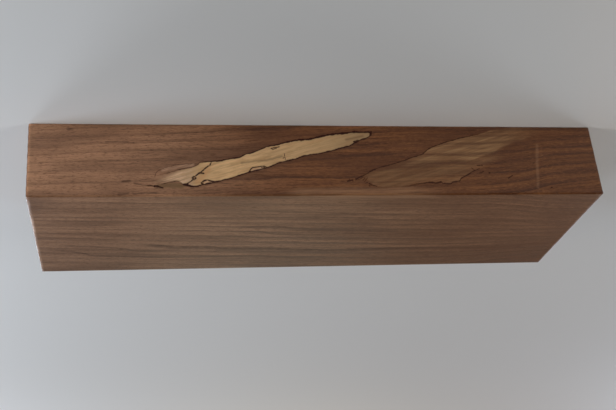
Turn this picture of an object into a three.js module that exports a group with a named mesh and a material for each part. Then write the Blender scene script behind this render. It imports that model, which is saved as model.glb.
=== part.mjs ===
// A turning blank of caucasian walnut: one squared piece of heartwood, sawn to length
// and planed on its four long faces. It lies on its wide face, with its length along X,
// its width along Y and its thickness along Z. The origin is at the middle of the
// resting face, so the underside is at Z = 0.

import * as THREE from 'three';
import { RoundedBoxGeometry } from 'three/addons/geometries/RoundedBoxGeometry.js';

// Driving dimensions, in millimetres
const LENGTH = 300;
const WIDTH = 97;
const THICKNESS = 41;

// The arrises are hardly broken: a light pass of sandpaper leaves this radius
const ARRIS_RADIUS = 0.5;
const ARRIS_STEPS = 2;

// Dry, unfinished heartwood
const HEARTWOOD_BROWN = 0x6f503d;
const PLANED_WOOD_ROUGHNESS = 0.62;

function walnutMaterial() {
  return new THREE.MeshStandardMaterial({
    color: HEARTWOOD_BROWN,
    roughness: PLANED_WOOD_ROUGHNESS,
    metalness: 0,
  });
}

// The squared block, with its edges and corners eased by the same radius
function walnutBlank() {
  const block = new RoundedBoxGeometry(LENGTH, WIDTH, THICKNESS, ARRIS_STEPS, ARRIS_RADIUS);
  const blank = new THREE.Mesh(block, walnutMaterial());
  blank.name = 'walnut_blank';
  blank.position.set(0, 0, THICKNESS / 2);
  return blank;
}

const turningBlank = new THREE.Group();
turningBlank.add(walnutBlank());

export default turningBlank;
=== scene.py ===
"""A caucasian walnut turning blank, dressed as one squared piece of spalted heartwood.

Lengths are in metres, as in the frame. A name that ends in _MM is in millimetres, and so are
the points of every line and patch that is traced on the wood. The block's left and right are
those of the picture, which is taken upside down, so its left end is at +X.
"""

import math

import bpy
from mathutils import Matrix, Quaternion, Vector


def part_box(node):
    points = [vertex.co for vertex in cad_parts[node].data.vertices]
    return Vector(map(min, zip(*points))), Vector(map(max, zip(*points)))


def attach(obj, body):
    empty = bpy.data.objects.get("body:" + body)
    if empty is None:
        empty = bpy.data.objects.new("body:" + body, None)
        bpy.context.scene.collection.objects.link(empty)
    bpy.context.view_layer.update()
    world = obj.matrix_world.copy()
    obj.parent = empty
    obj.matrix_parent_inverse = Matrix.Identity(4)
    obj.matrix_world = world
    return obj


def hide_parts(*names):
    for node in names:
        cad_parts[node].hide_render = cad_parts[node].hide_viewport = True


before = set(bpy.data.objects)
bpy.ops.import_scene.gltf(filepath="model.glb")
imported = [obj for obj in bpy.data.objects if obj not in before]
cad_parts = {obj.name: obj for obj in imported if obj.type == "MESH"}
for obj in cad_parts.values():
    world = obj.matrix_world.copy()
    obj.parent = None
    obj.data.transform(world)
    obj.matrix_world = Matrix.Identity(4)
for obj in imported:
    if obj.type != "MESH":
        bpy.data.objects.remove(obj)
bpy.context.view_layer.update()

# The camera stands in front of the narrow face and above it, a little towards the +X end. It is
# held upside down, so the floor in front of the block fills the top of the picture.
CAMERA_AIM = Vector((0.0009, 0.0058, 0.0205))
CAMERA_DISTANCE = 0.5628
CAMERA_AZIMUTH = math.radians(11.247)
CAMERA_ELEVATION = math.radians(25.193)
CAMERA_ROLL = math.radians(174.73)
CAMERA_LENS_MM = 58.02
CAMERA_FILM_MM = 36.0

camera = bpy.data.objects.new("camera", bpy.data.cameras.new("camera"))
bpy.context.scene.collection.objects.link(camera)
looking = Vector((
    -math.sin(CAMERA_AZIMUTH) * math.cos(CAMERA_ELEVATION),
    math.cos(CAMERA_AZIMUTH) * math.cos(CAMERA_ELEVATION),
    -math.sin(CAMERA_ELEVATION),
))
camera.location = CAMERA_AIM - looking * CAMERA_DISTANCE
camera.rotation_mode = "QUATERNION"
camera.rotation_quaternion = looking.to_track_quat("-Z", "Y") @ Quaternion((0, 0, 1), CAMERA_ROLL)
camera.data.sensor_width = CAMERA_FILM_MM
camera.data.lens = CAMERA_LENS_MM
bpy.context.scene.camera = camera

# The blank is one block of solid wood, planed on its four long faces and sawn square at both
# ends. Its arrises are hardly broken. So that wear can shape it, its length is cut into 150
# slices, in two passes, its width into 97 and its height into 41.
ARRIS = 0.0005
ARRIS_STEPS = 3
ARRIS_ANGLE = math.radians(60)
SMOOTH_ANGLE = math.radians(50)
SLICES = {0: (14, 9), 1: (96,), 2: (40,)}

low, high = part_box("walnut_blank")
bpy.ops.object.select_all(action="DESELECT")
bpy.ops.mesh.primitive_cube_add(size=1, location=(low + high) / 2, scale=high - low)
blank = bpy.context.object
blank.name = "spalted_walnut_blank"
bpy.ops.object.transform_apply(location=True, rotation=True, scale=True)


def cut_into_slices(piece, axis, cuts):
    """Cuts every edge that lies along an axis into equal lengths, and the faces with them."""
    bpy.ops.object.mode_set(mode="EDIT")
    bpy.ops.mesh.select_mode(type="EDGE")
    bpy.ops.mesh.select_all(action="DESELECT")
    bpy.ops.object.mode_set(mode="OBJECT")
    for edge in piece.data.edges:
        start, end = (piece.data.vertices[index].co for index in edge.vertices)
        edge.select = abs((end - start)[axis]) > 0.9 * (end - start).length
    bpy.ops.object.mode_set(mode="EDIT")
    bpy.ops.mesh.subdivide(number_cuts=cuts)
    bpy.ops.object.mode_set(mode="OBJECT")


for axis, passes in SLICES.items():
    for cuts in passes:
        cut_into_slices(blank, axis, cuts)

easing = blank.modifiers.new("eased arrises", "BEVEL")
easing.width = ARRIS
easing.segments = ARRIS_STEPS
easing.limit_method = "ANGLE"
easing.angle_limit = ARRIS_ANGLE
bpy.ops.object.modifier_apply(modifier=easing.name)


def wear(piece, name, chosen, texture, most, guide=None):
    """Sinks the chosen points by up to the given depth, as deep as the texture is dark."""
    group = piece.vertex_groups.new(name=name)
    group.add([vertex.index for vertex in piece.data.vertices if chosen(vertex.co)], 1.0, "REPLACE")
    sinking = piece.modifiers.new(name, "DISPLACE")
    sinking.vertex_group = group.name
    sinking.texture = texture
    sinking.strength = most
    sinking.mid_level = 1.0
    if guide:
        sinking.texture_coords = "OBJECT"
        sinking.texture_coords_object = guide
    bpy.ops.object.modifier_apply(modifier=sinking.name)


# Handling has bruised the arrises here and there. The saw left shallow arcs on both ends,
# centred where its arbor stood.
BRUISE_DEPTH = 0.00015
BRUISE_SIZE = 0.006
BRUISE_CONTRAST = 1.6
SAW_DEPTH = 0.00012
SAW_CENTRE = (0.0, 0.09, 0.16)
SAW_SCALE = 0.0105
SAW_WOBBLE = 0.6
HANDLED = 0.0004

handling = bpy.data.textures.new("bruises", "CLOUDS")
handling.noise_scale = BRUISE_SIZE
handling.contrast = BRUISE_CONTRAST


def on_arris(spot):
    """True where at least two faces of the block meet."""
    near = [min(a - b, c - a) < HANDLED for a, b, c in zip(spot, low, high)]
    return sum(near) > 1


def on_sawn_end(spot):
    """True on the flat of either end, inside its arrises."""
    inside = all(b + ARRIS < a < c - ARRIS for a, b, c in list(zip(spot, low, high))[1:])
    return inside and min(spot[0] - low[0], high[0] - spot[0]) < HANDLED


wear(blank, "bruised arrises", on_arris, handling, BRUISE_DEPTH)
bpy.ops.object.empty_add(location=SAW_CENTRE)
arbor = bpy.context.object
arbor.scale = (SAW_SCALE, SAW_SCALE, SAW_SCALE)
bpy.ops.object.select_all(action="DESELECT")
bpy.context.view_layer.objects.active = blank
blank.select_set(True)
sawing = bpy.data.textures.new("saw arcs", "WOOD")
sawing.wood_type = "RINGNOISE"
sawing.turbulence = SAW_WOBBLE
wear(blank, "sawn ends", on_sawn_end, sawing, SAW_DEPTH, arbor)
bpy.data.objects.remove(arbor)
bpy.ops.object.shade_smooth_by_angle(angle=SMOOTH_ANGLE)


# The figure of the wood goes right through it, so shader nodes draw it from each spot's place
# in the block. These helpers lay the nodes out in one tree and return the socket they make.
def wire(tree, value, socket):
    """Feeds a socket from another socket, or sets it to a plain value."""
    if isinstance(value, bpy.types.NodeSocket):
        tree.links.new(value, socket)
    else:
        socket.default_value = value


def calc(tree, operation, *values):
    node = tree.nodes.new("ShaderNodeMath")
    node.operation = operation
    for value, socket in zip(values, node.inputs):
        wire(tree, value, socket)
    return node.outputs[0]


def faded(tree, value, *shares):
    """The value, times each share in turn."""
    for share in shares:
        value = calc(tree, "MULTIPLY", value, share)
    return value


def vector_calc(tree, operation, *values, output="Vector"):
    node = tree.nodes.new("ShaderNodeVectorMath")
    node.operation = operation
    for value, socket in zip(values, node.inputs):
        wire(tree, value, socket)
    return node.outputs[output]


def ramp(tree, value, start, end, low=0.0, high=1.0, kind="SMOOTHSTEP"):
    """Goes from low to high as the value goes from start to end. Only LINEAR goes on outside."""
    node = tree.nodes.new("ShaderNodeMapRange")
    node.interpolation_type = kind
    node.clamp = kind != "LINEAR"
    for given, socket in zip((value, start, end, low, high), node.inputs):
        wire(tree, given, socket)
    return node.outputs[0]


def mix_colour(tree, share, below, above, kind="MIX"):
    node = tree.nodes.new("ShaderNodeMix")
    node.data_type = "RGBA"
    node.blend_type = kind
    wire(tree, share, node.inputs["Factor"])
    wire(tree, below, node.inputs[6])
    wire(tree, above, node.inputs[7])
    return node.outputs[2]


def join(tree, x, y, z):
    node = tree.nodes.new("ShaderNodeCombineXYZ")
    for value, socket in zip((x, y, z), node.inputs):
        wire(tree, value, socket)
    return node.outputs[0]


def split(tree, vector):
    """The X, Y and Z outputs, which can be taken in that order or by name."""
    node = tree.nodes.new("ShaderNodeSeparateXYZ")
    wire(tree, vector, node.inputs[0])
    return node.outputs


def noise(tree, point, stretch, detail=2.0, roughness=0.5, seed=0.0):
    """Soft noise from 0 to 1. The stretch is how many cells lie in a millimetre, each way.

    Two noises with different seeds have nothing in common.
    """
    node = tree.nodes.new("ShaderNodeTexNoise")
    node.noise_dimensions = "4D"
    wire(tree, vector_calc(tree, "MULTIPLY", point, stretch), node.inputs["Vector"])
    node.inputs["W"].default_value = seed
    node.inputs["Scale"].default_value = 1.0
    node.inputs["Detail"].default_value = detail
    node.inputs["Roughness"].default_value = roughness
    return node.outputs[0]


def traced(tree, value, points, handles="AUTO_CLAMPED"):
    """A traced line: reads one coordinate and gives the other, both in millimetres."""
    points = sorted(points)
    reads = [point[0] for point in points]
    gives = [point[1] for point in points]
    least, span = min(gives), max(gives) - min(gives)
    node = tree.nodes.new("ShaderNodeFloatCurve")
    curve = node.mapping.curves[0]
    places = [((a - reads[0]) / (reads[-1] - reads[0]), (b - least) / span) for a, b in points]
    curve.points[0].location = places[0]
    curve.points[1].location = places[-1]
    for place in places[1:-1]:
        curve.points.new(*place)
    for point in curve.points:
        point.handle_type = handles
    node.mapping.update()
    wire(tree, ramp(tree, value, reads[0], reads[-1], kind="LINEAR"), node.inputs["Value"])
    return calc(tree, "MULTIPLY_ADD", node.outputs[0], span, least)


def new_group(name, inputs, outputs):
    """An empty node group with its named sockets. Returns the group and its inner ends."""
    tree = bpy.data.node_groups.new(name, "ShaderNodeTree")
    for label, kind in inputs:
        tree.interface.new_socket(label, in_out="INPUT", socket_type=kind)
    for label, kind in outputs:
        tree.interface.new_socket(label, in_out="OUTPUT", socket_type=kind)
    return tree, tree.nodes.new("NodeGroupInput").outputs, tree.nodes.new("NodeGroupOutput").inputs


def place_group(tree, group, **values):
    node = tree.nodes.new("ShaderNodeGroup")
    node.node_tree = group
    for label, value in values.items():
        wire(tree, value, node.inputs[label.replace("_", " ")])
    return node.outputs


NUMBER = "NodeSocketFloat"
VECTOR = "NodeSocketVector"

# The tree stood so that the rings cross the block on a slant: outwards is up and to the front.
# Each ring is pale at first, darkens slowly, and ends at a sharp edge. The rings run nearly
# along the block, spread apart towards its right end and lean over at its left end.
RING_WIDTH_MM = 5.2
RING_OFFSET_MM = 1.7
RIGHT_LEAN = [(-150, 0.0), (-125, 1.0), (-100, 3.2), (-70, 4.0), (150, 4.0)]
LEFT_LEAN = [(-150, 0.0), (-100, 0.2), (-50, 1.0), (0, 3.0), (50, 6.0), (100, 9.5), (150, 13.0)]
LEAN_PIVOT_MM = 62.7
LEAN_GROWTH = 0.055
WANDER_MM = 5.0
RIPPLE_MM = 1.1
LATE_START = 0.1
LATE_END = 0.93
LATE_SHARPNESS = 2.2

rings, given, result = new_group(
    "growth rings",
    [("Point", VECTOR)],
    [("Grain Point", VECTOR), ("Late Wood", NUMBER), ("Ring Tone", NUMBER)],
)
x, y, z = split(rings, given["Point"])
slant = calc(rings, "SUBTRACT", z, y)
tangent = calc(rings, "ADD", z, y)
fan = calc(rings, "MULTIPLY_ADD", calc(rings, "SUBTRACT", slant, LEAN_PIVOT_MM), LEAN_GROWTH, 1.0)
right_lean = calc(rings, "MULTIPLY", traced(rings, x, RIGHT_LEAN), fan)
left_share = ramp(rings, slant, 80.0, 45.0, 0.3, 1.0)
left_lean = calc(rings, "MULTIPLY", traced(rings, x, LEFT_LEAN), left_share)
level = calc(rings, "SUBTRACT", slant, calc(rings, "ADD", right_lean, left_lean))
wander = noise(rings, join(rings, x, level, tangent), (0.011, 0.03, 0.012), 2.0, 0.5, 3.0)
ripple = noise(rings, join(rings, x, level, tangent), (0.06, 0.1, 0.05), 2.0, 0.5, 8.0)
level = calc(rings, "MULTIPLY_ADD", calc(rings, "SUBTRACT", wander, 0.5), WANDER_MM, level)
level = calc(rings, "MULTIPLY_ADD", calc(rings, "SUBTRACT", ripple, 0.5), RIPPLE_MM, level)
count = calc(rings, "DIVIDE", calc(rings, "ADD", level, RING_OFFSET_MM), RING_WIDTH_MM)
phase = calc(rings, "FRACT", count)
late = calc(rings, "MAXIMUM", ramp(rings, phase, LATE_START, LATE_END, kind="LINEAR"), 0.0)
late = faded(rings, calc(rings, "POWER", late, LATE_SHARPNESS), ramp(rings, phase, 1.0, LATE_END))
tone = rings.nodes.new("ShaderNodeTexWhiteNoise")
tone.noise_dimensions = "1D"
wire(rings, calc(rings, "FLOOR", count), tone.inputs["W"])
wire(rings, join(rings, x, level, tangent), result["Grain Point"])
wire(rings, late, result["Late Wood"])
wire(rings, tone.outputs["Value"], result["Ring Tone"])

# The vessels of walnut are fine open tubes along the grain. A cut face shows them as short dark
# scratches, and a sawn end as dots.
PORE_LENGTH_MM = 5.0
PORE_WIDTH_MM = 0.34
PORE_EDGE = 0.66
PORE_SOFTNESS = 0.07

pores, given, result = new_group(
    "pores", [("Grain Point", VECTOR), ("Crowding", NUMBER)], [("Pore", NUMBER)]
)
cell = (1 / PORE_LENGTH_MM, 1 / PORE_WIDTH_MM, 1 / PORE_WIDTH_MM)
speck = noise(pores, given["Grain Point"], cell, 1.0, 0.4, 5.0)
edge = calc(pores, "MULTIPLY_ADD", given["Crowding"], -0.07, PORE_EDGE)
wire(pores, ramp(pores, speck, edge, calc(pores, "ADD", edge, PORE_SOFTNESS)), result["Pore"])

# Fungus in the log drew ink-dark lines through the wood. A stroke is one short straight length
# of such a line, and it also draws the cracks, scratches and smudges. Ink spreads a little.
INK_SPREAD = 1.25

stroke, given, result = new_group(
    "stroke",
    [
        ("Point", VECTOR),
        ("Start", VECTOR),
        ("End", VECTOR),
        ("Half Width", NUMBER),
        ("Soft", NUMBER),
    ],
    [("Cover", NUMBER)],
)
way = vector_calc(stroke, "SUBTRACT", given["End"], given["Start"])
reach = vector_calc(stroke, "SUBTRACT", given["Point"], given["Start"])
share = calc(
    stroke,
    "DIVIDE",
    vector_calc(stroke, "DOT_PRODUCT", reach, way, output="Value"),
    vector_calc(stroke, "DOT_PRODUCT", way, way, output="Value"),
)
share = calc(stroke, "MINIMUM", calc(stroke, "MAXIMUM", share, 0.0), 1.0)
along = stroke.nodes.new("ShaderNodeVectorMath")
along.operation = "SCALE"
wire(stroke, way, along.inputs[0])
wire(stroke, share, along.inputs["Scale"])
gap = vector_calc(stroke, "DISTANCE", reach, along.outputs[0], output="Value")
outside = calc(stroke, "ADD", given["Half Width"], given["Soft"])
inside = calc(stroke, "SUBTRACT", given["Half Width"], given["Soft"])
wire(stroke, ramp(stroke, gap, outside, inside), result["Cover"])


def strokes(tree, face_point, paths, soft=0.22):
    """Draws paths of (x, z) points on the front face. Each path comes with its half width."""
    cover = 0.0
    for half_width, path in paths:
        for start, end in zip(path, path[1:]):
            length = place_group(
                tree,
                stroke,
                Point=face_point,
                Start=(start[0], 0, start[1]),
                End=(end[0], 0, end[1]),
                Half_Width=half_width * INK_SPREAD,
                Soft=soft,
            )["Cover"]
            cover = calc(tree, "MAXIMUM", cover, length)
    return cover


def fine_line(tree, distance, half_width, soft):
    """A line along which the distance is zero."""
    away = calc(tree, "ABSOLUTE", distance)
    outside = calc(tree, "ADD", half_width, soft)
    return ramp(tree, away, outside, calc(tree, "SUBTRACT", half_width, soft))


# The heartwood is brown, paler towards the left end, where the tree was younger. Its streaks
# and vessels run with the grain, and each ring darkens to its sharp late edge.
HEARTWOOD = (0.210, 0.098, 0.045, 1.0)
HEARTWOOD_LIGHT = (0.330, 0.174, 0.090, 1.0)
HEARTWOOD_DARK = (0.096, 0.036, 0.014, 1.0)
PALE_HEARTWOOD = (0.440, 0.240, 0.125, 1.0)
YOUNG_HEARTWOOD = (0.620, 0.330, 0.185, 1.0)
LATE_WOOD = (0.068, 0.022, 0.008, 1.0)
YOUNG_SHARE = [(-150, 0.0), (-95, 0.0), (-65, 0.04), (-35, 0.1), (-5, 0.16), (25, 0.3), (55, 0.46),
               (85, 0.6), (115, 0.78), (150, 0.84)]
MM_IN_METRE = 1000.0

walnut = bpy.data.materials.new("spalted walnut")
walnut.use_nodes = True
tree = walnut.node_tree
shader = tree.nodes["Principled BSDF"]
place = tree.nodes.new("ShaderNodeTexCoord").outputs["Object"]
point = vector_calc(tree, "MULTIPLY", place, (MM_IN_METRE, MM_IN_METRE, MM_IN_METRE))
x, y, z = split(tree, point)
depth = calc(tree, "SUBTRACT", y, low.y * MM_IN_METRE)
grain = place_group(tree, rings, Point=point)
grain_point = grain["Grain Point"]

streaks = noise(tree, grain_point, (0.010, 0.5, 0.06), 4.0, 0.66, 1.0)
fibres = noise(tree, grain_point, (0.032, 1.15, 0.45), 4.0, 0.66, 2.0)
flecks = noise(tree, grain_point, (0.45, 1.7, 1.7), 2.0, 0.6, 20.0)
clouds = noise(tree, grain_point, (0.016, 0.06, 0.05), 2.0, 0.5, 6.0)
colour = mix_colour(tree, ramp(tree, streaks, 0.3, 0.68), HEARTWOOD_DARK, HEARTWOOD_LIGHT)
colour = mix_colour(tree, 0.25, colour, HEARTWOOD)
wide_share = ramp(tree, x, -20.0, 145.0, 1.15, 0.42)
young = faded(
    tree,
    traced(tree, x, YOUNG_SHARE),
    ramp(tree, depth, 0.0, 8.0, 1.0, wide_share),
    ramp(tree, streaks, 0.3, 0.65, 0.92, 1.06),
)
colour = mix_colour(tree, young, colour, YOUNG_HEARTWOOD)
late_share = faded(
    tree,
    grain["Late Wood"],
    ramp(tree, grain["Ring Tone"], 0.0, 1.0, 0.4, 0.9),
    ramp(tree, clouds, 0.35, 0.6, 0.6, 1.0),
    ramp(tree, x, 20.0, 110.0, 1.0, 0.5),
)
colour = mix_colour(tree, late_share, colour, LATE_WOOD)
fibre_dark = ramp(tree, x, 20.0, 110.0, 0.78, 0.38)
colour = mix_colour(tree, ramp(tree, fibres, 0.50, 0.66, 0.0, fibre_dark), colour, HEARTWOOD_DARK)
colour = mix_colour(tree, ramp(tree, fibres, 0.48, 0.32, 0.0, 0.36), colour, PALE_HEARTWOOD)
colour = mix_colour(tree, ramp(tree, flecks, 0.5, 0.68, 0.0, 0.5), colour, HEARTWOOD_DARK)
colour = mix_colour(tree, ramp(tree, flecks, 0.47, 0.3, 0.0, 0.4), colour, PALE_HEARTWOOD)
colour = mix_colour(tree, ramp(tree, clouds, 0.6, 0.35, 0.0, 0.5), colour, HEARTWOOD_DARK)

# The narrow face is multiplied redder than the wide one, in painted warm light, and the right end
# is darkened most at its far corner, in painted shade. The wide face is also darker along a strip
# on its far side and paler along one on its near side.
WARM_LIGHT_TINT = (0.89, 0.67, 0.42, 1.0)
# DARKER multiplies in the painted shade at the right end and the far strip.
DARKER = (0.38, 0.40, 0.44, 1.0)
FAR_STRIP = [(-70, 0.0), (-20, 0.14), (10, 0.24), (55, 0.26), (100, 0.31), (150, 0.12)]
NEAR_STRIP = [(-80, 0.0), (-35, 0.1), (10, 0.2), (55, 0.1), (90, 0.0)]

# Painted warm light on the narrow face, fading out towards its left end.
warm_light_share = calc(tree, "MULTIPLY", ramp(tree, depth, 2.0, 0.0), ramp(tree, x, 85.0, 5.0))
colour = mix_colour(tree, warm_light_share, colour, WARM_LIGHT_TINT, "MULTIPLY")
# Painted shade: the right end is darkened, most on the wide face at its far corner and least on the
# narrow face.
far_shade_share = ramp(tree, depth, 45.0, 97.0, 0.45, 1.2)
painted_shade_share = faded(
    tree,
    ramp(tree, x, -40.0, -150.0),
    far_shade_share,
    ramp(tree, depth, 0.0, 4.0, 0.3, 1.0),
)
painted_shade_share = calc(tree, "MINIMUM", painted_shade_share, 1.0)
colour = mix_colour(tree, painted_shade_share, colour, DARKER, "MULTIPLY")
far_strip = calc(tree, "MULTIPLY", traced(tree, x, FAR_STRIP), ramp(tree, depth, 45.0, 80.0))
colour = mix_colour(tree, far_strip, colour, DARKER, "MULTIPLY")
near_strip = faded(
    tree,
    ramp(tree, depth, 1.0, 6.0),
    ramp(tree, depth, 45.0, 15.0),
    traced(tree, x, NEAR_STRIP),
)
colour = mix_colour(tree, near_strip, colour, PALE_HEARTWOOD)

# A few rings hold much darker wood. On the wide face they show as bands with one sharp edge,
# and each goes down through the block on the slant of the rings. A band has its strength, its
# width, the two ends between which it shows, and the line of its sharp edge.
BAND_LINES = [
    (0.8, 6.5, (-160, 100), [
        (95, 9.6), (82, 12.4), (72, 14.6), (57, 15.0), (50, 16.9), (31, 17.8), (20, 18.5),
        (12, 20.0), (-4, 21.2), (-15, 22.3), (-28, 21.5), (-50, 20.8), (-72, 20.9), (-104, 21.5),
        (-115, 21.0), (-127, 19.0), (-140, 16.5), (-150, 16.3),
    ]),
    (0.9, 2.6, (-160, 14), [
        (12, 20.2), (-4, 21.4), (-15, 22.5), (-28, 21.8), (-50, 21.1), (-72, 21.2), (-104, 21.8),
        (-115, 21.3), (-127, 19.3), (-140, 16.8), (-150, 16.6),
    ]),
    (0.7, 2.8, (-14, 146), [
        (138, 17.8), (131, 19.6), (125, 22.1), (119, 25.3), (107, 26.5), (94, 27.8), (81, 29.0),
        (62, 29.3), (50, 28.7), (31, 29.0), (15, 31.5), (6, 32.8), (-14, 34.7),
    ]),
    (0.55, 3.4, (74, 144), [
        (141, 9.2), (133, 10.6), (127, 12.1), (116, 13.4), (104, 15.9), (97, 19.0), (75, 20.3),
    ]),
    (0.6, 2.6, (-52, 50), [(50, -33.0), (15, -29.5), (-15, -27.0), (-52, -24.6)]),
    (0.7, 3.0, (-52, 50), [(50, -11.0), (25, -11.0), (11, -8.5), (-15, -5.4), (-52, -2.2)]),
    (0.6, 2.6, (-24, 48), [(48, -5.4), (31, -4.8), (23, -1.6), (-3, 0.9), (-24, 1.6)]),
    (0.6, 2.4, (-38, 51), [(51, -24.0), (15, -22.3), (-15, -21.6), (-38, -17.0)]),
]
BAND_FADE_MM = 16.0
BAND_DRIFT_MM = 1.4

dotted = noise(tree, grain_point, (0.25, 0.9, 0.5), 3.0, 0.6, 9.0)
below_top = calc(tree, "SUBTRACT", high.z * MM_IN_METRE, z)
band_drift = calc(tree, "MULTIPLY", calc(tree, "SUBTRACT", streaks, 0.5), BAND_DRIFT_MM)
slid_y = calc(tree, "ADD", calc(tree, "ADD", y, below_top), band_drift)
for strength, width, (right_end, left_end), line in BAND_LINES:
    past = calc(tree, "SUBTRACT", slid_y, traced(tree, x, line))
    band = faded(
        tree,
        ramp(tree, past, -0.8, 0.8),
        ramp(tree, past, width, width * 0.3),
        ramp(tree, dotted, 0.38, 0.56, 0.5, 1.0),
        ramp(tree, x, right_end, right_end + BAND_FADE_MM),
        ramp(tree, x, left_end, left_end - BAND_FADE_MM),
    )
    colour = mix_colour(tree, calc(tree, "MULTIPLY", band, strength), colour, LATE_WOOD)

# Planing and sawing cut the vessels open on every face. They are fainter towards the left end,
# where the wood is younger.
pore = place_group(tree, pores, Grain_Point=grain_point, Crowding=1.0)["Pore"]
pore_share = calc(tree, "MULTIPLY", pore, ramp(tree, x, 20.0, 110.0, 0.62, 0.35))
colour = mix_colour(tree, pore_share, colour, LATE_WOOD)

# Rot bleached a long pocket in the front face to cream. It is a lens only a few millimetres
# deep, and a black line walls it off. At its left it frays out into the brown wood. In places
# the rot has tinted the wood olive, pink or amber.
POCKET_FLOOR = [
    (-25.7, 4.9), (-24.5, 4.0), (-20, 4.1), (-17.5, 4.0), (-12.5, 4.6), (-7.5, 5.1), (-2.5, 5.8),
    (2.5, 7.0), (7.5, 8.2), (15, 9.2), (20, 10.3), (25, 11.8), (30, 12.8), (32.5, 14.0),
    (37.5, 16.2), (42.5, 17.8), (45, 19.2), (50, 20.1), (55, 21.2), (60, 21.7), (64.9, 22.2),
    (66.2, 23.4), (70, 25.1), (75.3, 26.1), (80.3, 27.8), (84.5, 29.0), (88, 30.0), (93, 32.5),
]
POCKET_ROOF = [
    (-25.7, 5.1), (-24, 7.0), (-20, 8.6), (-16, 10.8), (-12.5, 12.6), (-7.5, 14.0), (-2.5, 15.5),
    (2.5, 16.8), (7.5, 17.6), (12, 18.5), (15, 19.9), (20, 21.1), (25, 22.5), (30, 24.8),
    (35, 26.4), (40, 27.7), (45, 29.4), (50, 31.2), (55, 32.6), (60, 33.8), (65, 35.0),
    (68.5, 35.9), (71.5, 35.4), (73.5, 34.9), (75.2, 33.7), (77, 32.7), (79, 32.7), (83, 33.6),
    (88, 34.6), (93, 34.6),
]
POCKET_TONE = [(-26, 0.48), (-19, 0.52), (-10, 0.62), (10, 0.80), (30, 0.86), (50, 1.0), (62, 0.93),
               (68, 0.82), (73, 0.93), (80, 1.04), (85, 0.8), (93, 0.55)]
CREAM = (0.930, 0.610, 0.310, 1.0)
WHITE_CREAM = (0.850, 0.580, 0.360, 1.0)
CREAM_STREAK = (0.540, 0.290, 0.120, 1.0)
INK = (0.032, 0.004, 0.001, 1.0)
RUST = (0.200, 0.075, 0.030, 1.0)
OLIVE = (0.205, 0.114, 0.046, 1.0)
PINK = (0.680, 0.420, 0.270, 1.0)
AMBER = (0.720, 0.380, 0.165, 1.0)
OLIVE_SHARE = 0.85
PINK_SHARE = 0.75
AMBER_SHARE = 0.55
OLIVE_SMUDGES = [
    (1.1, [(74.8, 35.6), (79.0, 35.2), (86.0, 35.4)]),
    (0.2, [(44.0, 22.4), (37.0, 21.4), (31.0, 20.9), (23.0, 18.6)]),
    (0.3, [(-12.0, 8.6), (-21.0, 6.4)]),
]
PINK_SMUDGES = [
    (0.5, [(58.5, 33.0), (63.0, 33.3)]),
    (0.5, [(33.6, 25.7), (38.6, 26.4)]),
    (0.7, [(69.0, 23.6), (76.0, 24.6), (84.0, 26.4)]),
    (0.3, [(88.3, 34.6), (85.0, 33.7), (81.7, 32.6), (78.3, 32.1)]),
]
AMBER_SMUDGES = [
    (0.9, [(61.3, 26.2), (63.5, 29.8), (67.0, 33.4)]),
]
POCKET_SLOPE = 0.31
POCKET_DEPTH_MM = 3.5
POCKET_TIP_MM = -25.8
SHAKE_MM = 0.75

shake = tree.nodes.new("ShaderNodeTexNoise")
shake.inputs["Scale"].default_value = 0.5
shake.inputs["Detail"].default_value = 3.0
wire(tree, point, shake.inputs["Vector"])
shaken = vector_calc(tree, "SUBTRACT", shake.outputs["Color"], (0.5, 0.5, 0.5))
shaken = vector_calc(tree, "MULTIPLY_ADD", shaken, (SHAKE_MM, 0.0, SHAKE_MM), point)
shaken_x = split(tree, shaken)["X"]
shaken_z = split(tree, shaken)["Z"]
face_point = join(tree, shaken_x, 0.0, shaken_z)
near_front = ramp(tree, depth, POCKET_DEPTH_MM, POCKET_DEPTH_MM - 1.0)

# How far a spot lies inside the pocket's outline, in millimetres
over_floor = calc(tree, "SUBTRACT", shaken_z, traced(tree, shaken_x, POCKET_FLOOR))
under_roof = calc(tree, "SUBTRACT", traced(tree, shaken_x, POCKET_ROOF), shaken_z)
within = calc(tree, "MINIMUM", over_floor, under_roof)
within = calc(tree, "MINIMUM", within, calc(tree, "SUBTRACT", shaken_x, POCKET_TIP_MM))

# The bleached wood, which frays out along the fibres at its left
fray = ramp(tree, x, 66.0, 90.0, 0.25, 2.0)
fray_reach = calc(tree, "MULTIPLY", fray, 1.5)
frayed = calc(tree, "MULTIPLY_ADD", calc(tree, "SUBTRACT", fibres, 0.5), fray_reach, within)
bleached = faded(
    tree,
    ramp(tree, frayed, calc(tree, "MULTIPLY", fray, -0.4), fray),
    ramp(tree, x, 95.0, 80.0),
    near_front,
)
tilted = join(tree, x, calc(tree, "MULTIPLY_ADD", x, -POCKET_SLOPE, z), y)
soft_streaks = noise(tree, tilted, (0.05, 0.32, 0.3), 3.0, 0.55, 11.0)
fine_streaks = noise(tree, tilted, (0.06, 1.2, 0.6), 3.0, 0.6, 12.0)
wisps = faded(tree, ramp(tree, fine_streaks, 0.42, 0.6), ramp(tree, x, 66.0, 88.0, 0.15, 0.95))
brown_width = ramp(tree, x, 70.0, 87.0, 1.2, 6.0)
brown_side = faded(
    tree,
    ramp(tree, over_floor, brown_width, 0.3),
    ramp(tree, x, 69.0, 80.0, 0.0, 0.85),
)
wisps = calc(tree, "MAXIMUM", wisps, brown_side)
bleached = calc(tree, "MULTIPLY", bleached, calc(tree, "SUBTRACT", 1.0, wisps))

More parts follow.
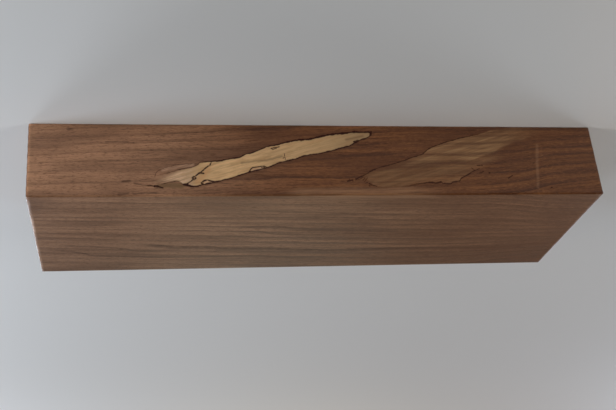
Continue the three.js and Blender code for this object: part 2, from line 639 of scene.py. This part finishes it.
# Cream, whiter at its left, with streaks and a mottle of its own
cream = mix_colour(tree, ramp(tree, x, 65.0, 73.0), CREAM, WHITE_CREAM)
tone = traced(tree, x, POCKET_TONE)
cream = mix_colour(tree, 1.0, cream, join(tree, tone, tone, tone), "MULTIPLY")
cream = mix_colour(tree, ramp(tree, soft_streaks, 0.55, 0.75, 0.0, 0.5), cream, CREAM_STREAK)
cream = mix_colour(tree, ramp(tree, fine_streaks, 0.5, 0.75, 0.0, 0.22), cream, CREAM_STREAK)
mottle = noise(tree, tilted, (0.14, 0.55, 0.5), 3.0, 0.6, 18.0)
cream = mix_colour(tree, ramp(tree, mottle, 0.43, 0.68, 0.0, 0.5), cream, CREAM_STREAK)
colour = mix_colour(tree, bleached, colour, cream)

# The tints, and the darker wood just outside the outline
smudged = calc(tree, "MULTIPLY", strokes(tree, face_point, OLIVE_SMUDGES, soft=1.0), near_front)
colour = mix_colour(tree, calc(tree, "MULTIPLY", smudged, OLIVE_SHARE), colour, OLIVE)
blushed = faded(
    tree,
    strokes(tree, face_point, PINK_SMUDGES, soft=0.7),
    near_front,
    ramp(tree, x, 89.0, 82.0),
    ramp(tree, fine_streaks, 0.62, 0.42, 0.3, 1.0),
)
colour = mix_colour(tree, calc(tree, "MULTIPLY", blushed, PINK_SHARE), colour, PINK)
glow = calc(tree, "MULTIPLY", strokes(tree, face_point, AMBER_SMUDGES, soft=1.4), near_front)
colour = mix_colour(tree, calc(tree, "MULTIPLY", glow, AMBER_SHARE), colour, AMBER)
halo = faded(
    tree,
    ramp(tree, within, -1.6, -0.2),
    near_front,
    ramp(tree, x, 80.0, 62.0, 0.0, 0.5),
    ramp(tree, within, 0.6, 0.0),
)
colour = mix_colour(tree, halo, colour, HEARTWOOD_DARK)

# The black line along the outline, thick and thin by turns
blots = noise(tree, point, (0.35, 0.35, 0.35), 2.0, 0.5, 17.0)
blotting = ramp(tree, blots, 0.35, 0.65, 0.65, 1.35)
floor_width = faded(
    tree,
    ramp(tree, x, 24.0, 14.0, 0.36, 0.58),
    blotting,
    ramp(tree, x, 58.0, 66.0, 1.0, 0.5),
)
ink = faded(
    tree,
    fine_line(tree, over_floor, floor_width, 0.28),
    ramp(tree, x, 90.0, 80.0),
    ramp(tree, under_roof, -0.6, 0.2),
)
roof_ink = faded(
    tree,
    fine_line(tree, under_roof, calc(tree, "MULTIPLY", blotting, 0.38), 0.28),
    ramp(tree, x, 77.0, 73.0),
    ramp(tree, over_floor, -0.6, 0.2),
)
ink = faded(
    tree,
    calc(tree, "MAXIMUM", ink, roof_ink),
    ramp(tree, shaken_x, POCKET_TIP_MM - 0.6, POCKET_TIP_MM),
)

# Inside the pocket smaller ink lines cut across it, curl into hooks and rings, and end in
# blots. One crack crosses its middle.
INNER_LINES = [
    (0.30, [(59.3, 21.7), (60.3, 23.8), (61.2, 24.3), (62.8, 25.7), (65.3, 28.0)]),
    (0.38, [(63.7, 28.4), (65.3, 28.0), (66.2, 28.5)]),
    (0.32, [(66.2, 28.5), (67.7, 30.0)]),
    (0.34, [(67.6, 31.1), (68.5, 30.2), (69.4, 31.1), (68.5, 32.0), (67.6, 31.1)]),
    (0.26, [(69.2, 31.9), (70.3, 33.0), (72.2, 34.2)]),
    (0.50, [(71.9, 34.5), (73.6, 34.8)]),
    (0.40, [(66.5, 35.7), (69.0, 35.8), (72.0, 35.2)]),
    (0.36, [(64.9, 34.1), (63.6, 32.7), (61.6, 32.0), (60.8, 32.6), (58.0, 33.2), (55.3, 32.8)]),
    (0.24, [(64.9, 34.1), (63.6, 34.7), (60.8, 33.8), (57.8, 33.4)]),
    (0.50, [(64.7, 33.9), (64.3, 34.3)]),
    (0.27, [(31.5, 24.9), (32.5, 24.4), (35.5, 24.6), (38.5, 25.2), (39.5, 26.0), (40.3, 27.1)]),
    (0.40, [(39.9, 27.3), (40.3, 27.3)]),
    (0.30, [(32.4, 25.2), (34.0, 25.2)]),
    (0.25, [(28.3, 14.2), (27.5, 13.6), (25.0, 13.3), (24.0, 13.0)]),
    (0.22, [(27.7, 14.6), (25.5, 14.0)]),
    (0.17, [(21.7, 17.0), (21.5, 18.0), (21.8, 18.7), (21.3, 19.3), (21.3, 20.4)]),
    (0.15, [(21.6, 19.2), (22.4, 19.8)]),
    (0.60, [(-17.7, 3.8), (-17.0, 3.8)]),
    (0.45, [(-16.0, 9.9), (-18.3, 9.2)]),
    (0.50, [(-25.8, 3.8), (-25.3, 5.8)]),
    (0.22, [(91.6, 35.3), (88.6, 35.5)]),
    (0.55, [(88.0, 35.5), (86.6, 35.7)]),
    (0.32, [(86.6, 35.8), (84.2, 36.4)]),
    (0.16, [(84.6, 34.4), (81.0, 33.4), (77.9, 32.9)]),
    (0.10, [(88.0, 30.0), (87.2, 28.0), (85.6, 26.4), (82.0, 25.0), (76.0, 23.4), (69.0, 22.7)]),
]
fading = ramp(tree, noise(tree, point, (0.7, 0.7, 0.7), 2.0, 0.5, 21.0), 0.32, 0.5, 0.62, 1.0)
inner = calc(tree, "MULTIPLY", strokes(tree, face_point, INNER_LINES), fading)
ink = faded(tree, calc(tree, "MAXIMUM", ink, inner), near_front)

# A second patch, further right, is only half bleached, to tan. It starts in a tuft of short
# lines, runs down to the resting face and goes on round its edge. An ink line walls off its
# lower side, and another lies above it, where a fainter stain ends. Small marks surround it.
TAN_LINE = [
    (-10.5, 33.4), (-15, 31.7), (-18.5, 29.9), (-23.5, 27.0), (-26.5, 25.7), (-32.5, 24.0),
    (-40, 21.6), (-46.5, 19.1), (-52, 17.3), (-55, 14.8), (-57.5, 13.3), (-62.5, 11.2), (-70, 8.7),
    (-77.5, 6.6), (-85, 4.9), (-93, 2.3), (-100, 1.2), (-118, -4.0),
]
TAN_SIDE = [
    (-60, 26.5), (-75, 22.8), (-80, 21.3), (-85, 18.5), (-92.5, 15.7), (-97.5, 12.8), (-105, 10.2),
    (-112.5, 7.3), (-125, 2.0),
]
FAINT_LINE = [
    (-22.8, 34.8), (-25, 36.4), (-30, 36.8), (-36, 36.8), (-42, 36.0), (-45, 35.3), (-50, 34.5),
    (-55, 34.0), (-57.5, 34.3), (-60.3, 33.6), (-61, 34.6), (-65, 34.7), (-66.5, 33.9),
    (-70.3, 33.3), (-71.5, 31.7), (-74.5, 30.1), (-79.5, 27.1), (-82.5, 25.9),
]
TAN = (0.405, 0.230, 0.104, 1.0)
TAN_DEPTH_SLOPE = 0.35
TAN_MARKS = [
    (0.42, [(-10.3, 33.0), (-12.8, 32.4)]),
    (0.20, [(-11.0, 31.9), (-13.0, 33.3)]),
    (0.40, [(-14.8, 31.9), (-16.4, 31.0), (-18.2, 30.2)]),
    (0.18, [(-14.4, 32.6), (-16.9, 31.9), (-18.6, 30.7)]),
    (0.22, [(-18.2, 30.2), (-20.4, 29.0), (-22.2, 27.9)]),
    (0.36, [(-22.6, 27.6), (-24.0, 26.7), (-25.4, 26.3)]),
    (0.18, [(-19.2, 33.4), (-20.9, 31.2)]),
    (0.18, [(-18.4, 32.4), (-19.6, 31.5)]),
    (0.20, [(-19.6, 34.4), (-20.6, 34.0)]),
    (0.40, [(-21.5, 34.6), (-22.7, 35.2)]),
    (0.28, [(-21.3, 35.8), (-21.9, 35.7)]),
    (0.26, [(-23.4, 35.7), (-25.2, 36.1)]),
    (0.40, [(-59.2, 33.9), (-60.0, 33.9)]),
    (0.25, [(-78.4, 25.6), (-79.5, 26.9)]),
    (0.30, [(-81.5, 23.9), (-84.5, 23.9)]),
    (0.28, [(-82.0, 28.5), (-83.5, 28.3), (-84.5, 27.5)]),
    (0.50, [(-87.6, 28.4), (-87.9, 28.4)]),
    (0.28, [(-97.7, 31.8), (-98.7, 31.0), (-100.3, 29.9)]),
    (0.40, [(-120.9, 37.2), (-121.2, 37.2)]),
]

# The patch and the fainter stain, both weaker where the wood's own streaks are dark
near_tan = ramp(tree, depth, 16.0, 8.0)
deep_z = calc(tree, "MULTIPLY_ADD", depth, TAN_DEPTH_SLOPE, shaken_z)
past_tan = calc(tree, "SUBTRACT", deep_z, traced(tree, shaken_x, TAN_LINE))
short_of_side = calc(tree, "SUBTRACT", traced(tree, shaken_x, TAN_SIDE), deep_z)
short_of_faint = calc(tree, "SUBTRACT", traced(tree, shaken_x, FAINT_LINE), deep_z)
side_soft = ramp(tree, x, -84.0, -68.0, 1.0, 6.0)
patch = faded(
    tree,
    ramp(tree, past_tan, -0.1, 0.6),
    ramp(tree, short_of_side, -0.8, side_soft),
    ramp(tree, x, -24.0, -64.0, 0.1, 1.0),
    ramp(tree, x, -128.0, -82.0),
)
faint = faded(
    tree,
    ramp(tree, past_tan, 0.0, 0.8),
    ramp(tree, short_of_faint, -0.4, 1.2),
    ramp(tree, x, -100.0, -84.0, 0.0, 0.44),
    ramp(tree, x, -12.0, -24.0),
)
patch = calc(tree, "MULTIPLY", calc(tree, "MAXIMUM", patch, faint), near_tan)
tan_streaks = noise(tree, tilted, (0.03, 0.5, 0.3), 3.0, 0.65, 19.0)
patch = faded(
    tree,
    patch,
    ramp(tree, tan_streaks, 0.4, 0.62, 0.45, 1.05),
    ramp(tree, streaks, 0.36, 0.56, 0.32, 1.05),
)
colour = mix_colour(tree, patch, colour, TAN)
tan_fibres = calc(tree, "MULTIPLY", patch, ramp(tree, fibres, 0.46, 0.66, 0.0, 0.6))
colour = mix_colour(tree, tan_fibres, colour, HEARTWOOD)

# Their ink lines, and all the ink together, which is rusty where it is thin
tan_ink = faded(
    tree,
    fine_line(tree, past_tan, calc(tree, "MULTIPLY", blotting, 0.32), 0.22),
    ramp(tree, x, -102.0, -74.0, 0.12, 0.85),
    ramp(tree, x, -19.0, -25.0),
)
faint_ink = faded(
    tree,
    fine_line(tree, short_of_faint, calc(tree, "MULTIPLY", blotting, 0.38), 0.22),
    ramp(tree, x, -83.2, -82.2, 0.0, 0.9),
    ramp(tree, x, -22.4, -23.4),
    ramp(tree, x, -38.0, -54.0, 0.5, 1.0),
)
tan_ink = faded(tree, calc(tree, "MAXIMUM", tan_ink, faint_ink), near_tan)
marks = faded(
    tree,
    strokes(tree, face_point, TAN_MARKS, soft=0.3),
    near_front,
    calc(tree, "MULTIPLY", fading, 0.9),
)
ink = calc(tree, "MAXIMUM", ink, calc(tree, "MAXIMUM", tan_ink, marks))
rusty_ink = mix_colour(tree, ramp(tree, ink, 0.15, 0.85), RUST, INK)
colour = mix_colour(tree, ink, colour, rusty_ink)

# Short brown marks lie along the grain, mostly left of the pocket. A scraped line crosses the
# front face near its right end. Paler wood shows along the arris between the two bleached
# patches and goes on over it, onto the wide face.
SCRAPE = [
    (0.6, [(-117.7, 11.5), (-116.3, 19.0), (-115.2, 25.0), (-114.3, 32.0), (-113.3, 37.0)]),
]
ARRIS_PATCH_MM = 6.0
ARRIS_PATCH_SOFT_MM = 4.0
BROWN_MARKS = [
    (0.45, [(103.8, 32.9), (100.2, 32.5)]),
    (0.30, [(98.0, 33.9), (94.0, 34.8), (90.5, 35.0)]),
    (0.45, [(105.8, 40.1), (101.0, 39.6)]),
    (0.28, [(98.5, 39.7), (93.0, 39.2), (87.6, 39.4)]),
    (0.60, [(130.6, 3.0), (128.6, 3.4)]),
    (0.25, [(112.0, 10.6), (104.0, 10.4), (98.0, 10.9)]),
    (0.28, [(28.5, 40.4), (22.0, 39.6), (4.0, 39.0)]),
]

browned = faded(
    tree,
    strokes(tree, face_point, BROWN_MARKS, soft=0.55),
    near_front,
    ramp(tree, fine_streaks, 0.35, 0.6, 0.35, 0.85),
)
colour = mix_colour(tree, browned, colour, HEARTWOOD_DARK)
scraped = faded(
    tree,
    strokes(tree, face_point, SCRAPE, soft=0.6),
    near_front,
    ramp(tree, dotted, 0.3, 0.6, 0.1, 0.3),
)
colour = mix_colour(tree, scraped, colour, PALE_HEARTWOOD)
from_arris = calc(tree, "ADD", below_top, depth)
ragged = calc(tree, "MULTIPLY_ADD", calc(tree, "SUBTRACT", streaks, 0.5), 9.0, from_arris)
edge_patch = faded(
    tree,
    ramp(tree, ragged, ARRIS_PATCH_MM, ARRIS_PATCH_MM - ARRIS_PATCH_SOFT_MM),
    ramp(tree, x, 27.0, 12.0),
    ramp(tree, x, -68.0, -40.0),
    ramp(tree, fibres, 0.35, 0.65, 0.62, 0.2),
)
colour = mix_colour(tree, edge_patch, colour, PALE_HEARTWOOD)

# Both ends are end grain, sawn across the vessels. It is darker, with dark rings and vessels
# and pale rays that cross the rings.
END_GRAIN = (0.070, 0.041, 0.027, 1.0)
RAY = (0.22, 0.145, 0.095, 1.0)
END_SHARE = 0.8
END_RING_SHARE = 0.65
END_PORE_SHARE = 0.5

end_mm = high.x * MM_IN_METRE
at_end = ramp(tree, calc(tree, "ABSOLUTE", x), end_mm - 0.5, end_mm - 0.25)
rays = noise(tree, grain_point, (0.02, 0.03, 3.2), 2.0, 0.5, 14.0)
end_colour = mix_colour(tree, END_SHARE, colour, END_GRAIN)
end_rings = calc(tree, "MULTIPLY", grain["Late Wood"], END_RING_SHARE)
end_marks = calc(tree, "MAXIMUM", end_rings, calc(tree, "MULTIPLY", pore, END_PORE_SHARE))
end_colour = mix_colour(tree, end_marks, end_colour, LATE_WOOD)
end_colour = mix_colour(tree, ramp(tree, rays, 0.55, 0.75, 0.0, 0.22), end_colour, RAY)
colour = mix_colour(tree, at_end, colour, end_colour)
wire(tree, colour, shader.inputs["Base Color"])

# Nothing is on the wood but the mark of the planer knives. Vessels and cracks are open, and
# the ink lines are duller than the wood around them.
SHEEN = 0.65
SMOOTHEST = 0.46
ROUGHEST = 0.56
BUMP_STRENGTH = 0.25
BUMP_DEPTH = 0.0001

roughness = ramp(tree, streaks, 0.3, 0.7, SMOOTHEST, ROUGHEST)
roughness = calc(tree, "MULTIPLY_ADD", pore, 0.15, roughness)
wire(tree, calc(tree, "MULTIPLY_ADD", ink, 0.3, roughness), shader.inputs["Roughness"])
shader.inputs["Specular IOR Level"].default_value = SHEEN
knife_marks = noise(tree, join(tree, x, 0.0, 0.0), (0.7, 0.0, 0.0), 1.0, 0.5, 15.0)
height = calc(tree, "MULTIPLY_ADD", fibres, 0.5, calc(tree, "MULTIPLY", pore, -1.0))
height = calc(tree, "MULTIPLY_ADD", knife_marks, 0.4, height)
bump = tree.nodes.new("ShaderNodeBump")
bump.inputs["Strength"].default_value = BUMP_STRENGTH
bump.inputs["Distance"].default_value = BUMP_DEPTH
wire(tree, height, bump.inputs["Height"])
wire(tree, bump.outputs["Normal"], shader.inputs["Normal"])

blank.data.materials.append(walnut)
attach(blank, "root")
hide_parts("walnut_blank")

# The floor is a plain pale sheet, wide enough for every view. It is matt, so nothing is
# mirrored in it and the block's shadow lies soft on it.
FLOOR_SIZE = 12.0
FLOOR_COLOUR = (0.8, 0.8, 0.8, 1.0)
FLOOR_ROUGHNESS = 0.8
FLOOR_SHEEN = 0.2

bpy.ops.object.select_all(action="DESELECT")
bpy.ops.mesh.primitive_plane_add(size=FLOOR_SIZE)
floor = bpy.context.object
floor.name = "floor"
pale = bpy.data.materials.new("pale floor")
pale.use_nodes = True
pale_shader = pale.node_tree.nodes["Principled BSDF"]
pale_shader.inputs["Base Color"].default_value = FLOOR_COLOUR
pale_shader.inputs["Roughness"].default_value = FLOOR_ROUGHNESS
pale_shader.inputs["Specular IOR Level"].default_value = FLOOR_SHEEN
floor.data.materials.append(pale)

# The room is dim. Soft discs of light stand low around the block, most of them behind it, so
# its shadow falls towards the camera. Each has its bearing and height in degrees, distance,
# size and strength, and is named as seen from the front, with +X to the right. Three of them,
# beside and before the block, are screened, so they don't glare on the wide face.
ROOM_COLOUR = (0.89, 0.95, 1.0, 1.0)
ROOM_STRENGTH = 0.028
LIGHT_POWER = 20.0
LIGHT_TARGET = Vector((0.0, 0.0, 0.02))
SOFT_LIGHTS = {
    "right window": (90, 20, 0.7, 0.35, (0.176, 0.206, 0.238)),
    "left fill": (300, 20, 0.7, 0.35, (0.168, 0.160, 0.148)),
    "right front lamp": (75, 9, 1.0, 0.36, (0.300, 0.270, 0.238)),
    "back window": (143, 6, 1.1, 0.46, (0.276, 0.297, 0.325)),
    "back lamp": (185, 6, 1.0, 0.40, (0.056, 0.049, 0.037)),
    "back left fill": (240, 6, 1.1, 0.40, (0.168, 0.182, 0.200)),
    "warm back lamp": (210, 10, 2.5, 1.0, (0.036, 0.018, 0.010)),
}
SCREENED_LIGHTS = ("right window", "left fill", "right front lamp")

world = bpy.data.worlds.new("room")
world.use_nodes = True
world.node_tree.nodes["Background"].inputs["Color"].default_value = ROOM_COLOUR
world.node_tree.nodes["Background"].inputs["Strength"].default_value = ROOM_STRENGTH
bpy.context.scene.world = world
for name, (bearing, height, distance, size, strength) in SOFT_LIGHTS.items():
    turn = math.radians(bearing)
    rise = math.radians(height)
    towards = Vector((
        math.sin(turn) * math.cos(rise),
        -math.cos(turn) * math.cos(rise),
        math.sin(rise),
    ))
    lamp = bpy.data.lights.new(name, "AREA")
    lamp.shape = "DISK"
    lamp.size = size
    lamp.energy = LIGHT_POWER * distance ** 2 * max(strength)
    lamp.color = [part / max(strength) for part in strength]
    light = bpy.data.objects.new(name, lamp)
    light.location = LIGHT_TARGET + towards * distance
    light.rotation_mode = "QUATERNION"
    light.rotation_quaternion = towards.to_track_quat("Z", "Y")
    light.visible_glossy = name not in SCREENED_LIGHTS
    bpy.context.scene.collection.objects.link(light)
bpy.context.scene.view_settings.view_transform = "Standard"
